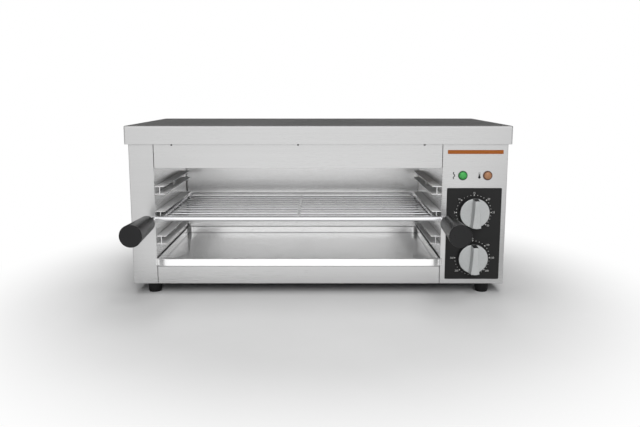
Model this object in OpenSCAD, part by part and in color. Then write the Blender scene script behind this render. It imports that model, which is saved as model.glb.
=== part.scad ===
// Electric cheese melter: a countertop grill with a sliding wire rack, a drip tray,
// a timer and a thermostat. Millimetres, +X right, +Z up, the open front faces -Y.
// The origin is on the worktop, under the middle of the unit's outline.

/* [Top cover] */
// Width of the top cover, the widest piece of the unit
cover_w = 610; // [580:1:760]
// Depth of the top cover
cover_d = 310; // [300:1:400]
// Height from the worktop to the top of the cover
unit_h = 272; // [268:1:330]
// Height of the cover's folded skirt
skirt_h = 29; // [24:1:32]
// Outside radius of the cover's folded edges
cover_edge_r = 2.5; // [1.5:0.5:4]
// How far the cover stands past the cabinet at the sides and at the front
cover_overhang = 5; // [3:0.5:8]
// How far the cover stands past the back panel
cover_overhang_back = 8; // [8:0.5:14]

/* [Cabinet] */
// Sheet thickness of the casing
sheet = 1.2; // [1:0.1:1.6]
// Sheet thickness of the cooking space's lining
liner_t = 1; // [0.8:0.1:1.5]
// Width of the plain pillar at the left of the opening
pillar_w = 39; // [36:1:60]
// Width of the control panel at the right of the opening
panel_w = 103; // [98:1:130]
// Gap between the front sheets
seam = 1; // [0.6:0.1:1.1]
// Height of the band under the opening
lower_band_h = 28.3; // [26:0.1:36]
// Height of the band above the opening, below the cover's skirt
upper_band_h = 38; // [34:1:44]
// Depth of the small folded returns that join the sheets
return_w = 13; // [10:1:16]
// Depth of the shelf folded back from the band above the opening
shelf_w = 24; // [18:1:30]
// Space between the cooking space's back lining and the back panel's inside
back_gap = 14.8; // [12:0.1:40]
// Open slit between a side lining and the back lining
corner_slit = 8; // [1:0.5:12]
// Height of the element chamber, from the shelf's underside to the reflector
chamber_h = 35; // [31:1:40]

/* [Rails and rack] */
// Height of one rack rail
rail_h = 13.5; // [12:0.5:16]
// How far a rail stands out from the lining
rail_w = 15.5; // [14:0.5:20]
// Sheet thickness of a rail
rail_t = 1; // [0.8:0.1:1.5]
// Length of a rail
rail_l = 232; // [210:1:250]
// Height of the lowest rail above the band under the opening
first_rail_rise = 36.2; // [30:0.1:38]
// Spacing of the rack levels
rail_pitch = 40.5; // [36:0.5:42]
// Diameter of the rods in the rack's frame
rod_d = 5; // [4:0.5:6]
// Diameter of the rack's front bar
bar_d = 8; // [7:0.5:9]
// Gap between the closed rack's front bar and the cabinet
bar_gap = 2; // [1:0.5:5]
// Bend radius of the front bar at its two ends
bar_bend_r = 7; // [6:0.5:9]
// Distance from the front bar to the rack's back rod
rack_d = 230; // [200:1:232]
// Rise of the rack's back stop over the frame's back rod
stop_rise = 7.5; // [6:0.5:10]
// Diameter of the back stop's rod
stop_d = 4; // [3:0.5:4]
// Diameter of the rack's cross wires
wire_d = 3; // [2:0.5:4]
// Spacing of the cross wires
wire_pitch = 25.5; // [18:0.5:34]
// Length of bare bar between each bend and its handle
bar_bare_l = 21.5; // [5:0.5:30]
// Length of a handle
handle_l = 103.5; // [80:0.5:140]
// Diameter of a handle at its front end
handle_front_d = 33; // [26:1:36]
// Diameter of a handle at its back end
handle_back_d = 25; // [20:1:26]
// How far a handle's axis stands outside the opening
handle_out = 5; // [3:0.5:8]
// How far a handle's axis hangs below the bar's
handle_drop = 2.3; // [0:0.1:3]

/* [Drip tray] */
// Height of the drip tray
tray_h = 13.3; // [11:0.1:20]
// Sheet thickness of the drip tray
tray_t = 1.2; // [0.8:0.1:1.6]
// Gap between the drip tray and each side lining
tray_gap = 2; // [1:0.5:5]
// Gap between the closed drip tray and the back lining
tray_back_gap = 3; // [1:0.5:6]
// How far the tray's front rim stands out from the cabinet
rim_out = 6.5; // [4:0.5:10]
// How far the front rim reaches into the opening
rim_in = 4.5; // [3:0.5:10]
// How far the front rim laps over the front sheets at each side
rim_lap = 2.1; // [0.5:0.1:4]
// Height of the front rim
rim_h = 11.7; // [8:0.1:13]
// Length of the curve at each end of the front rim
rim_curve_l = 24; // [12:1:40]

/* [Controls] */
// Diameter of a control knob
knob_d = 48; // [40:1:52]
// Height of a knob's round base
knob_base_h = 10; // [8:0.5:14]
// Height of the grip above the knob's base
grip_h = 17; // [10:0.5:20]
// Diameter of a control's shaft
shaft_d = 6; // [5:0.5:7]
// Height of the thermostat's axis above the cabinet's underside
thermostat_rise = 42.8; // [40:0.1:48]
// Distance between the two controls' axes
control_pitch = 74.3; // [68:0.1:78]
// Height of the lamps above the timer's axis
lamp_rise = 59.2; // [56:0.1:64]
// Distance between the two lamps
lamp_pitch = 39.4; // [30:0.1:50]
// Diameter of a lamp's rim
lamp_d = 15; // [12:0.5:18]

/* [Feet] */
// Height of a foot
foot_h = 17; // [15:0.5:30]
// Diameter of a foot at its top
foot_top_d = 24; // [20:0.5:26]
// Diameter of a foot at its bottom
foot_bottom_d = 20.5; // [16:0.1:22]
// Distance from the cabinet's side to a foot's axis
foot_inset_x = 30.8; // [20:0.1:33]
// Distance from the cabinet's front or back to a foot's axis
foot_inset_y = 18; // [16:1:50]

/* [Heating and electrics] */
// Diameter of the heating elements
element_d = 6.6; // [6:0.1:8.5]
// Distance from the back of the shelf to the heating elements' first pass
element_inset = 20; // [14:1:24]
// Distance from the heating elements' last pass to the back lining
element_back_inset = 32.8; // [20:0.1:50]
// Diameter of the thermostat's sensor bulb
bulb_d = 5; // [4:0.5:6]
// Diameter of the internal wires
lead_d = 2.6; // [2:0.1:3.5]
// Bore of the cord gland
gland_bore_d = 9; // [7:0.5:10]

/* [Hidden] */
$fn = 48;

// Colours
steel_c = [0.74, 0.75, 0.76];
bright_c = [0.86, 0.87, 0.88];
galvanised_c = [0.62, 0.65, 0.67];
black_c = [0.10, 0.10, 0.11];
knob_c = [0.68, 0.69, 0.68];
rubber_c = [0.08, 0.08, 0.08];
orange_c = [0.80, 0.42, 0.14];
element_c = [0.38, 0.37, 0.36];
ceramic_c = [0.92, 0.90, 0.84];
brass_c = [0.78, 0.62, 0.30];
wool_c = [0.90, 0.88, 0.80];

// Clearances
fit = 0.3;          // between pieces that slide past each other
running = 0.05;     // radial, of a shaft in its bearing
hole_play = 0.2;    // radial, of a screw or a bush in a sheet
cut = 1;            // how far a cutting tool runs past the face it cuts

// Front-to-back places: the handles reach forward and the cover reaches back
handle_reach = bar_gap + bar_d / 2 - cover_overhang + bar_bend_r + bar_bare_l + handle_l;
cover_y = -(cover_d - handle_reach) / 2;
cover_back_y = cover_y + cover_d;
casing_y = cover_y + cover_overhang;
inside_y = casing_y + sheet;
casing_back_y = cover_back_y - cover_overhang_back;
inside_back_y = casing_back_y - sheet;
liner_back_y = inside_back_y - back_gap;

// Sideways places
casing_x = cover_w / 2 - cover_overhang;
inside_x = casing_x - sheet;
cavity_x0 = -casing_x + pillar_w;
cavity_x1 = casing_x - panel_w;
cavity_x = (cavity_x0 + cavity_x1) / 2;
panel_x = (cavity_x1 + casing_x) / 2;
knob_x = panel_x;

// Heights
casing_z = foot_h;
inside_z = casing_z + sheet;
under_cover_z = unit_h - sheet;
skirt_z = unit_h - skirt_h;
opening_z0 = casing_z + lower_band_h;
opening_z1 = skirt_z - upper_band_h;
reflector_z = opening_z1 + chamber_h - liner_t;
element_z = opening_z1 + 19;
thermostat_z = casing_z + thermostat_rise;
timer_z = thermostat_z + control_pitch;
lamp_z = timer_z + lamp_rise;
stripe_z = lamp_z + 34.4;

// Depth of the straight part of a band's end tab, behind the seam
tab_step = 7;

// Rails
rail_y = casing_y + 2.5;
rail_web_x = rail_w / 2 - 0.25;
rail_post_w = 3;
rail_mid_post_w = 12;
function rail_z(level) = opening_z0 + first_rail_rise + level * rail_pitch;

// Rack, on the middle rails
rack_level = 1;
rod_z = rail_z(rack_level) + rail_t + fit + rod_d / 2;
rod_inset = rail_web_x + rail_t / 2 + 0.5 + rod_d / 2;
rack_bend_r = 6;
bar_y = casing_y - bar_gap - bar_d / 2;
bar_z = rod_z - 1;
rack_back_y = bar_y + rack_d;
wire_z = rod_z - (rod_d - wire_d) / 2;
centre_rod_d = 4;
stop_sink = 0.4;        // of the stop's turned ends under the back rod's axis
stop_turn_r = (stop_rise + stop_sink) / 2;
stop_inset = rail_w + 1.5 + stop_d / 2 + stop_turn_r;
centre_rod_z = wire_z + wire_d / 2 + centre_rod_d / 2;
first_wire = 22.7;
wire_end_gap = 16;
wire_count = floor((rack_d - first_wire - wire_end_gap) / wire_pitch) + 1;
bar_front_y = bar_y - bar_bend_r;
handle_y1 = bar_front_y - bar_bare_l;
handle_bore_l = handle_l * 0.85;

// Drip tray
tray_x0 = cavity_x0 + tray_gap;
tray_x1 = cavity_x1 - tray_gap;
tray_y0 = casing_y + rim_in - tray_t;
tray_y1 = liner_back_y - tray_back_gap;
tray_z = opening_z0 + fit;
tray_rear_r = 8;
rim_x0 = cavity_x0 - rim_lap;
rim_x1 = cavity_x1 + rim_lap;
rim_y0 = casing_y - rim_out;
rim_y1 = casing_y - fit;
rim_curve_d = rim_y1 - rim_y0 - tray_t;
rim_curve_r = (pow(rim_curve_l, 2) + pow(rim_curve_d, 2)) / (2 * rim_curve_d);

// Controls
plate_t = 0.8;
plate_w = 87.3;
plate_h = 148.7;
plate_x = panel_x + 0.05;
plate_z = casing_z + 7.6;
stripe_t = 0.4;
stripe_w = 88;
stripe_h = 6.2;
shaft_hole_d = shaft_d + 4;
knob_gap = 1;
knob_y1 = casing_y - plate_t - knob_gap;
knob_edge_r = 1.5;
grip_tip_w = 7.8;
grip_waist_w = 7.2;
grip_flare_w = 14;
grip_steps = 10;
socket_l = 14;
shaft_y0 = knob_y1 - socket_l;
shaft_in = 18;
timer_w = 44;
timer_l = 38;
thermostat_d = 38;
thermostat_l = 22;
switch_w = 24;
switch_l = 10;
bearing_wall = 4;
lamp_barrel_d = lamp_d - 3;
lamp_rim_t = 1.8;
lamp_dome_h = 2.4;
lamp_barrel_l = 9;
lamp_body_l = 26;

// Elements
passes = 4;
element_y0 = inside_y + shelf_w + element_inset;
element_pitch = (liner_back_y - element_back_inset - element_y0) / (2 * passes - 1);
element_bend_r = element_pitch / 2;
element_left_gap = 14;
element_right_gap = 24;
element_end_l = 9;
element_x0 = cavity_x0 + element_left_gap + element_bend_r;
element_x1 = cavity_x1 - element_right_gap - element_bend_r;
element_end_x = cavity_x1 + liner_t + element_end_l;
bush_wall = 2.5;
bush_d = element_d + 2 * bush_wall;
bush_flange_t = 4;
bush_flange_d = bush_d + bush_flange_t;
bush_in = 1;
terminal_nut_t = 3;
stud_d = 3.5;
stud_l = 11;
bracket_t = 1.2;
bracket_end = 10;
bracket_drop = 4;
bracket_xs = [cavity_x - cavity_w() / 4, cavity_x + cavity_w() / 4];
function cavity_w() = cavity_x1 - cavity_x0;
function pass_y(k) = element_y0 + k * element_pitch;

// Sensor
bulb_l = 80;
bulb_x = cavity_x1 - bulb_d / 2 - 3;
bulb_z = opening_z1 + 8;
bulb_y0 = pass_y(3) + 8;
capillary_d = 2;
clip_w = 5;
clip_wall = 1.2;

// Gland, terminals and wires
gland_x = panel_x;
gland_z = casing_z + 48;
gland_thread_d = 16;
gland_in = 15;
gland_head_d = 24;
gland_head_t = 3.5;
gland_dome_d = 17;
gland_dome_t = 3;
gland_nut_d = 24;
gland_nut_t = 4;
block_w = 42;
block_d = 22;
block_h = 18;
block_x0 = panel_x - block_w / 2;
block_back = 80;
block_y0 = inside_back_y - block_back;
block_z0 = inside_z;
block_ways = 3;
well_d = 5;
well_l = 6;
lead_z = block_z0 + block_h / 2;
lead_out = 12;
lead_gap = 8;
loom_reach = 110;
loom_y = inside_y + loom_reach;
loom_w = 32;
loom_drop = 28;
stud_x = element_end_x + stud_l;
tab_w = 6;
tab_t = 0.8;
tab_l = 8;
timer_tab_x = 10;
timer_tab_y = inside_y + timer_l + tab_l;
thermostat_tab_x = 8;
thermostat_tab_y = inside_y + thermostat_l + switch_l + tab_l;
lamp_tab_x = 4;
lamp_tab_y = inside_y + lamp_body_l + tab_l;
earth_x = cavity_x1 + liner_t + 16;
earth_y = block_y0 + block_d / 2;
earth_d = 5;
earth_h = 14;
earth_nut_d = 10;
earth_nut_t = 4;
wire_steps = 4;
wire_sides = 8;

// Vents and small holes
vent_l = 60;
vent_w = 4;
vent_pitch = 12;
side_vent_rows = 9;
side_vent_y = (inside_y + inside_back_y) / 2 + 30;
side_vent_step = vent_l * 0.7;
side_vent_rise = 60;
base_vent_rows = 7;
base_vent_y = casing_y + 70;
back_vent_rows = 5;
back_vent_cols = [-1, 0, 1];
back_vent_step = vent_l * 1.5;
back_vent_drop = 30;
hook_hole_d = 3;
hook_hole_inset = 29.3;
hook_hole_drop = 0.8;

// Screws
screw_d = 4;
head_d = 7.5;
head_h = 2.6;
cover_head_h = 1.8;
foot_screw_head_h = 3;
foot_floor = 8;
screw_grip = 6;
back_screw_inset = 8;
back_screw_rise = 50;
back_screw_pitch = 80;
back_screw_xs = [-casing_x + back_screw_inset, casing_x - back_screw_inset];
back_screw_zs = [for (k = [0 : 2]) casing_z + back_screw_rise + k * back_screw_pitch];
base_screw_n = 4;
base_screw_inset = 23;
base_screw_step = (cavity_x1 - cavity_x0 - 2 * base_screw_inset) / (base_screw_n - 1);
base_screw_y = inside_y + return_w / 2;
cover_screw_inset = 60;
cover_screw_ys = [casing_y + cover_screw_inset, casing_back_y - cover_screw_inset];
cover_screw_z = unit_h - skirt_h / 2;

// ---- Helpers ----

// A block between two opposite corners
module block(low, high) {
    translate(low) cube(high - low);
}

// Round bars along X and Y, between two places
module bar_along_x(x0, x1, y, z, d) {
    translate([x0, y, z]) rotate([0, 90, 0]) cylinder(d = d, h = x1 - x0);
}

module bar_along_y(x, y0, y1, z, d) {
    translate([x, y0, z]) rotate([-90, 0, 0]) cylinder(d = d, h = y1 - y0);
}

// A quarter bend in the XY plane about a centre, from angle a on
module bend(centre, a, bend_r, d, turn = 90) {
    translate(centre) rotate([0, 0, a])
        rotate_extrude(angle = turn) translate([bend_r, 0]) circle(d = d);
}

// A path along a list of points, each corner rounded from the middle of one span to the
// middle of the next in n steps
function curve(points, n) = let (last = len(points) - 1) concat(
    [points[0]],
    [for (i = [1 : last - 1], k = [0 : n - 1]) let (
        t = k / n,
        from = (points[i - 1] + points[i]) / 2,
        to = (points[i] + points[i + 1]) / 2)
        (1 - t) * (1 - t) * from + 2 * t * (1 - t) * points[i] + t * t * to],
    [(points[last - 1] + points[last]) / 2, points[last]]);

function unit(v) = v / norm(v);
function across(v, along) = unit(v - (v * along) * along);

// A wire along a list of points, its corners rounded
module wire(points, d) {
    path = curve(points, wire_steps);
    n = len(path) - 1;
    along = [for (i = [0 : n]) unit(i == 0 ? points[1] - points[0]
        : i == n ? path[n] - points[len(points) - 2] : path[i + 1] - path[i - 1])];
    start = across(abs(along[0].z) < 0.9 ? [0, 0, 1] : [1, 0, 0], along[0]);
    sides = [for (i = 0, v = start; i <= n;
        i = i + 1, v = i <= n ? across(v, along[i]) : v) v];
    rings = [for (i = [0 : n], k = [0 : wire_sides - 1]) let (a = 360 * k / wire_sides)
        path[i] + d / 2 * (cos(a) * sides[i] + sin(a) * cross(along[i], sides[i]))];
    polyhedron(rings, concat(
        [[for (k = [0 : wire_sides - 1]) k]],
        [for (i = [0 : n - 1], k = [0 : wire_sides - 1]) let (j = (k + 1) % wire_sides)
            [i * wire_sides + k, (i + 1) * wire_sides + k, (i + 1) * wire_sides + j,
                i * wire_sides + j]],
        [[for (k = [wire_sides - 1 : -1 : 0]) n * wire_sides + k]]));
}

// A flat slot with round ends, centred, its length along X
module slot(l, w) {
    square([l - w, w], center = true);
    for (side = [-1, 1]) translate([side * (l - w) / 2, 0]) circle(d = w);
}

// A rectangle with round corners, centred
module rounded(w, h, r) {
    square([w - 2 * r, h], center = true);
    square([w, h - 2 * r], center = true);
    for (x = [-1, 1], y = [-1, 1]) translate([x * (w / 2 - r), y * (h / 2 - r)]) circle(r = r);
}

// What is cut off a square edge along Z to round it; sx and sy point out of the corner
module edge_cut(x, y, sx, sy, z0, z1) {
    r = sheet;
    translate([x - sx * r, y - sy * r, z0]) difference() {
        translate([sx > 0 ? 0 : -r - cut, sy > 0 ? 0 : -r - cut, -cut])
            cube([r + cut, r + cut, z1 - z0 + 2 * cut]);
        translate([0, 0, -2 * cut]) cylinder(r = r, h = z1 - z0 + 4 * cut);
    }
}

// A pan-head screw: its head's underside at the origin, the head towards +Z
module screw(shank_l, d = screw_d, hd = head_d, hh = head_h) {
    slot_w = hd * 0.16;
    difference() {
        rotate_extrude() polygon([[0, 0], [hd / 2, 0], [hd / 2, hh * 0.45],
            [hd * 0.42, hh * 0.8], [hd * 0.28, hh], [0, hh]]);
        for (a = [0, 90]) rotate([0, 0, a]) translate([-hd * 0.3, -slot_w / 2, hh * 0.4])
            cube([hd * 0.6, slot_w, hh]);
    }
    translate([0, 0, -shank_l]) cylinder(d = d, h = shank_l);
}

// ---- Casing ----

// The cover's outer form, one solid with soft edges
module cover_form() {
    hull() for (x = [-1, 1], y = [cover_y + cover_edge_r, cover_back_y - cover_edge_r])
        translate([x * (cover_w / 2 - cover_edge_r), y, skirt_z]) {
            cylinder(r = cover_edge_r, h = skirt_h - cover_edge_r, $fn = 32);
            translate([0, 0, skirt_h - cover_edge_r]) sphere(r = cover_edge_r, $fn = 32);
        }
}

module top_cover() {
    color(steel_c) difference() {
        cover_form();
        block([-cover_w / 2 + sheet, cover_y + sheet, skirt_z - cut],
            [cover_w / 2 - sheet, cover_back_y - sheet, under_cover_z]);
        for (y = cover_screw_ys) bar_along_x(-cover_w, cover_w, y, cover_screw_z,
            screw_d + 2 * hole_play);
    }
}

// One side wall with its rear and top returns; side is -1 at the left, 1 at the right
module side_wall(side, y0) {
    x0 = min(side * casing_x, side * inside_x);
    x1 = max(side * casing_x, side * inside_x);
    rx0 = min(side * casing_x, side * (casing_x - return_w));
    rx1 = max(side * casing_x, side * (casing_x - return_w));
    block([x0, y0, casing_z], [x1, inside_back_y, under_cover_z]);
    block([rx0, inside_back_y - sheet, inside_z], [rx1, inside_back_y, under_cover_z]);
    block([rx0, inside_y + return_w, under_cover_z - sheet],
        [rx1, inside_back_y, under_cover_z]);
}

module side_screw_holes() {
    for (y = cover_screw_ys) bar_along_x(-cover_w, cover_w, y, cover_screw_z,
        screw_d + 2 * running);
    for (x = back_screw_xs, z = back_screw_zs)
        bar_along_y(x, inside_back_y - 2 * return_w, casing_back_y + cut, z,
            screw_d + 2 * running);
}

module left_side_panel() {
    color(steel_c) difference() {
        union() {
            side_wall(-1, casing_y);
            block([-casing_x, casing_y, casing_z], [cavity_x0, inside_y, under_cover_z]);
        }
        edge_cut(-casing_x, casing_y, -1, -1, casing_z, under_cover_z);
        side_screw_holes();
    }
}

// Rows of vent slots in the YZ plane
module side_vents() {
    for (k = [0 : side_vent_rows - 1], side = [-1, 1])
        translate([inside_x - cut, side_vent_y + side * side_vent_step,
                casing_z + side_vent_rise + k * vent_pitch])
            rotate([90, 0, 90]) linear_extrude(sheet + 2 * cut) slot(vent_l, vent_w);
}

module right_side_panel() {
    color(steel_c) difference() {
        side_wall(1, inside_y);
        side_vents();
        side_screw_holes();
    }
}

// The holes that the two controls' shafts pass
module control_holes(y0, y1) {
    for (z = [timer_z, thermostat_z]) bar_along_y(knob_x, y0, y1, z, shaft_hole_d);
}

module control_panel() {
    color(steel_c) difference() {
        union() {
            block([cavity_x1, casing_y, casing_z], [casing_x, inside_y, under_cover_z]);
            for (x = [cavity_x1 + liner_t, inside_x - sheet])
                block([x, casing_y, inside_z + sheet], [x + sheet, inside_y + return_w,
                    under_cover_z - 2 * sheet]);
        }
        edge_cut(casing_x, casing_y, 1, -1, casing_z, under_cover_z);
        control_holes(casing_y - cut, inside_y + cut);
        for (x = lamp_xs()) bar_along_y(x, casing_y - cut, inside_y + cut, lamp_z,
            lamp_barrel_d + 2 * hole_play);
    }
}

function lamp_xs() = [panel_x + 0.5 - lamp_pitch / 2, panel_x + 0.5 + lamp_pitch / 2];

// The black plate behind the knobs
module dial_plate() {
    color(black_c) difference() {
        translate([plate_x, casing_y, plate_z + plate_h / 2]) rotate([90, 0, 0])
            linear_extrude(plate_t) rounded(plate_w, plate_h, 1.5);
        control_holes(casing_y - plate_t - cut, casing_y + cut);
    }
}

module accent_stripe() {
    color(orange_c) translate([plate_x, casing_y, stripe_z + stripe_h / 2 - 0.1])
        rotate([90, 0, 0]) linear_extrude(stripe_t) rounded(stripe_w, stripe_h, 0.8);
}

// A tab folded back from a band's end, which steps aside behind the seam to meet the
// lining at x; side is -1 at the left, 1 at the right
module end_tab(x, side, z0, z1) {
    edge = x - side * seam;
    inner = edge - side * sheet;
    face = x - side * sheet;
    step_y = inside_y + tab_step;
    block([min(edge, inner), inside_y - sheet / 2, z0], [max(edge, inner), step_y, z1]);
    block([min(x, inner), step_y - sheet, z0], [max(x, inner), step_y, z1]);
    block([min(x, face), step_y - sheet, z0], [max(x, face), inside_y + return_w, z1]);
}

// A front band with its two end tabs
module band(z0, z1) {
    block([cavity_x0 + seam, casing_y, z0], [cavity_x1 - seam, inside_y, z1]);
    end_tab(cavity_x0, -1, z0 + 2 * sheet, z1);
    end_tab(cavity_x1, 1, z0 + 2 * sheet, z1);
}

module upper_fascia() {
    color(steel_c) difference() {
        union() {
            band(opening_z1, under_cover_z);
            block([cavity_x0 + seam, casing_y, opening_z1],
                [cavity_x1 - seam, inside_y + shelf_w, opening_z1 + sheet]);
        }
        for (x = [cavity_x0 + hook_hole_inset, cavity_x, cavity_x1 - hook_hole_inset])
            bar_along_y(x, casing_y - cut, inside_y + cut, skirt_z - hook_hole_drop,
                hook_hole_d);
    }
}

module lower_fascia() {
    color(steel_c) difference() {
        union() {
            band(casing_z, opening_z0 - sheet);
            block([cavity_x0 + seam, casing_y, opening_z0 - sheet],
                [cavity_x1 - seam, inside_y + return_w, opening_z0]);
            block([cavity_x0 + seam, casing_y, inside_z],
                [cavity_x1 - seam, inside_y + return_w, inside_z + sheet]);
        }
        base_screw_places() translate([0, 0, -cut]) cylinder(d = screw_d + 2 * running,
            h = 3 * sheet + 2 * cut);
    }
}

// The places of the screws along the front of the base
module base_screw_places() {
    for (k = [0 : base_screw_n - 1])
        translate([cavity_x0 + base_screw_inset + k * base_screw_step, base_screw_y, casing_z])
            children();
}

// The places of the four feet, on the cabinet's underside
function foot_x(side) = side * (casing_x - foot_inset_x);
function foot_y(end) = end < 0 ? casing_y + foot_inset_y : casing_back_y - foot_inset_y;

module base_panel() {
    color(galvanised_c) difference() {
        union() {
            block([-inside_x, inside_y, casing_z], [inside_x, inside_back_y, inside_z]);
            for (x = [-inside_x, inside_x - sheet])
                block([x, inside_y + 2 * return_w, casing_z],
                    [x + sheet, inside_back_y - 2 * return_w, casing_z + return_w]);
            block([-inside_x + 2 * return_w, inside_back_y - sheet, casing_z],
                [inside_x - 2 * return_w, inside_back_y, casing_z + return_w]);
        }
        for (side = [-1, 1], end = [-1, 1])
            translate([foot_x(side), foot_y(end), casing_z - cut])
                cylinder(d = screw_d + 2 * running, h = sheet + 2 * cut);
        base_screw_places() translate([0, 0, -cut])
            cylinder(d = screw_d + 2 * hole_play, h = sheet + 2 * cut);
        for (k = [0 : base_vent_rows - 1])
            translate([panel_x, base_vent_y + k * vent_pitch, casing_z - cut])
                linear_extrude(sheet + 2 * cut) slot(vent_l, vent_w);
    }
}

module back_panel() {
    color(galvanised_c) difference() {
        block([-casing_x, inside_back_y, casing_z], [casing_x, casing_back_y, under_cover_z]);
        bar_along_y(gland_x, inside_back_y - cut, casing_back_y + cut, gland_z,
            gland_thread_d + 2 * hole_play);
        for (x = back_screw_xs, z = back_screw_zs)
            bar_along_y(x, inside_back_y - cut, casing_back_y + cut, z,
                screw_d + 2 * hole_play);
        for (k = [0 : back_vent_rows - 1],
                x = concat([for (c = back_vent_cols) cavity_x + c * back_vent_step], panel_x))
            translate([x, inside_back_y - cut, skirt_z - back_vent_drop - k * vent_pitch])
                rotate([-90, 0, 0]) linear_extrude(sheet + 2 * cut) slot(vent_l, vent_w);
    }
}

// ---- Cooking space ----

module side_liner(x0) {
    block([x0, inside_y, inside_z],
        [x0 + liner_t, liner_back_y - corner_slit, under_cover_z - 2 * sheet]);
}

module left_liner() {
    color(bright_c) side_liner(cavity_x0 - liner_t);
}

module right_liner() {
    color(bright_c) difference() {
        side_liner(cavity_x1);
        element_ends() bar_along_x(cavity_x1 - cut, cavity_x1 + liner_t + cut, 0, 0,
            bush_d + 2 * hole_play);
        bar_along_x(cavity_x1 - cut, cavity_x1 + liner_t + cut, bulb_y0 - 6, bulb_z,
            capillary_d + 2);
    }
}

module back_liner() {
    color(bright_c) block([cavity_x0 - liner_t, liner_back_y, inside_z],
        [cavity_x1 + liner_t, liner_back_y + liner_t, under_cover_z]);
}

module cavity_floor() {
    color(bright_c) {
        block([cavity_x0, inside_y + return_w, opening_z0 - sheet],
            [cavity_x1, liner_back_y, opening_z0]);
        for (x = [cavity_x0, cavity_x1 - sheet])
            block([x, inside_y + return_w, opening_z0 - return_w],
                [x + sheet, liner_back_y - corner_slit, opening_z0]);
    }
}

module reflector() {
    front = inside_y + shelf_w - liner_t;
    color(bright_c) {
        block([cavity_x0, front, reflector_z], [cavity_x1, liner_back_y,
            reflector_z + liner_t]);
        block([cavity_x0 + seam, front, opening_z1 + sheet],
            [cavity_x1 - seam, front + liner_t, reflector_z + liner_t]);
    }
}

module insulation_pad() {
    color(wool_c) block([cavity_x0, inside_y + shelf_w - liner_t, reflector_z + liner_t],
        [cavity_x1, liner_back_y, under_cover_z]);
}

// A rail with an I section; its web is open between three posts
module rail(x0, z0, web_x) {
    y1 = rail_y + rail_l;
    mid = (rail_y + y1) / 2;
    for (z = [z0, z0 + rail_h - rail_t])
        block([x0, rail_y, z], [x0 + rail_w, y1, z + rail_t]);
    for (span = [[rail_y, rail_y + rail_post_w],
            [mid - rail_mid_post_w / 2, mid + rail_mid_post_w / 2],
            [y1 - rail_post_w, y1]])
        block([x0 + web_x - rail_t / 2, span[0], z0],
            [x0 + web_x + rail_t / 2, span[1], z0 + rail_h]);
}

module left_rail(level) {
    color(bright_c) rail(cavity_x0, rail_z(level), rail_web_x);
}

module right_rail(level) {
    color(bright_c) rail(cavity_x1 - rail_w, rail_z(level), rail_w - rail_web_x);
}

module left_rail_lower() { left_rail(0); }
module left_rail_middle() { left_rail(1); }
module left_rail_upper() { left_rail(2); }
module right_rail_lower() { right_rail(0); }
module right_rail_middle() { right_rail(1); }
module right_rail_upper() { right_rail(2); }

// ---- Heating ----

// A serpentine element of four passes, its two ends at the right
module element(first_pass) {
    y = pass_y(first_pass);
    color(element_c) {
        for (k = [0 : passes - 1]) {
            x1 = k == 0 || k == passes - 1 ? element_end_x : element_x1;
            bar_along_x(element_x0, x1, y + k * element_pitch, element_z, element_d);
        }
        for (k = [0, 2])
            bend([element_x0, y + (k + 0.5) * element_pitch, element_z], 90,
                element_bend_r, element_d, 180);
        bend([element_x1, y + 1.5 * element_pitch, element_z], -90,
            element_bend_r, element_d, 180);
    }
}

module front_element() { element(0); }
module rear_element() { element(passes); }

// The four places where element ends pass the right lining
module element_ends() {
    for (k = [0, passes - 1, passes, 2 * passes - 1])
        translate([0, pass_y(k), element_z]) children();
}

module element_brackets() {
    y0 = pass_y(0) - bracket_end;
    y1 = pass_y(2 * passes - 1) + bracket_end;
    color(galvanised_c) for (x = bracket_xs) difference() {
        block([x - bracket_t / 2, y0, element_z - element_d / 2 - bracket_drop],
            [x + bracket_t / 2, y1, reflector_z]);
        for (k = [0 : 2 * passes - 1])
            bar_along_x(x - bracket_t, x + bracket_t, pass_y(k), element_z,
                element_d + 2 * hole_play);
    }
}

module element_bushes() {
    color(ceramic_c) element_ends() difference() {
        union() {
            bar_along_x(cavity_x1 - bush_in, cavity_x1 + liner_t, 0, 0, bush_d);
            bar_along_x(cavity_x1 + liner_t, cavity_x1 + liner_t + bush_flange_t, 0, 0,
                bush_flange_d);
        }
        bar_along_x(cavity_x1 - bush_in - cut, element_end_x, 0, 0, element_d + 2 * running);
    }
}

module element_terminals() {
    color(brass_c) element_ends() {
        bar_along_x(element_end_x, element_end_x + stud_l, 0, 0, stud_d);
        bar_along_x(element_end_x + terminal_nut_t, element_end_x + 2 * terminal_nut_t, 0, 0,
            2 * stud_d);
    }
}

// ---- Controls ----

// A control's case holds its shaft in a plain bore
module control_bore(z) {
    bar_along_y(knob_x, inside_y - cut, inside_y + shaft_in + bearing_wall / 2, z,
        shaft_d + 2 * running);
}

// A tab for a push-on terminal, its free end at y
module tab(x, y, z, w = tab_w) {
    block([x - w / 2, y - tab_l, z - tab_t / 2], [x + w / 2, y, z + tab_t / 2]);
}

module timer_body() {
    foot = 26;
    color([0.80, 0.80, 0.76]) difference() {
        union() {
            translate([knob_x, inside_y, timer_z]) rotate([-90, 0, 0])
                linear_extrude(1.5) rounded(timer_w + 12, foot, 3);
            translate([knob_x, inside_y + 1.5, timer_z]) rotate([-90, 0, 0])
                linear_extrude(timer_l - 1.5) rounded(timer_w, timer_w, 4);
        }
        control_bore(timer_z);
    }
    color(brass_c) for (x = [-1, 1])
        tab(knob_x + x * timer_tab_x, timer_tab_y, timer_z);
}

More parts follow.
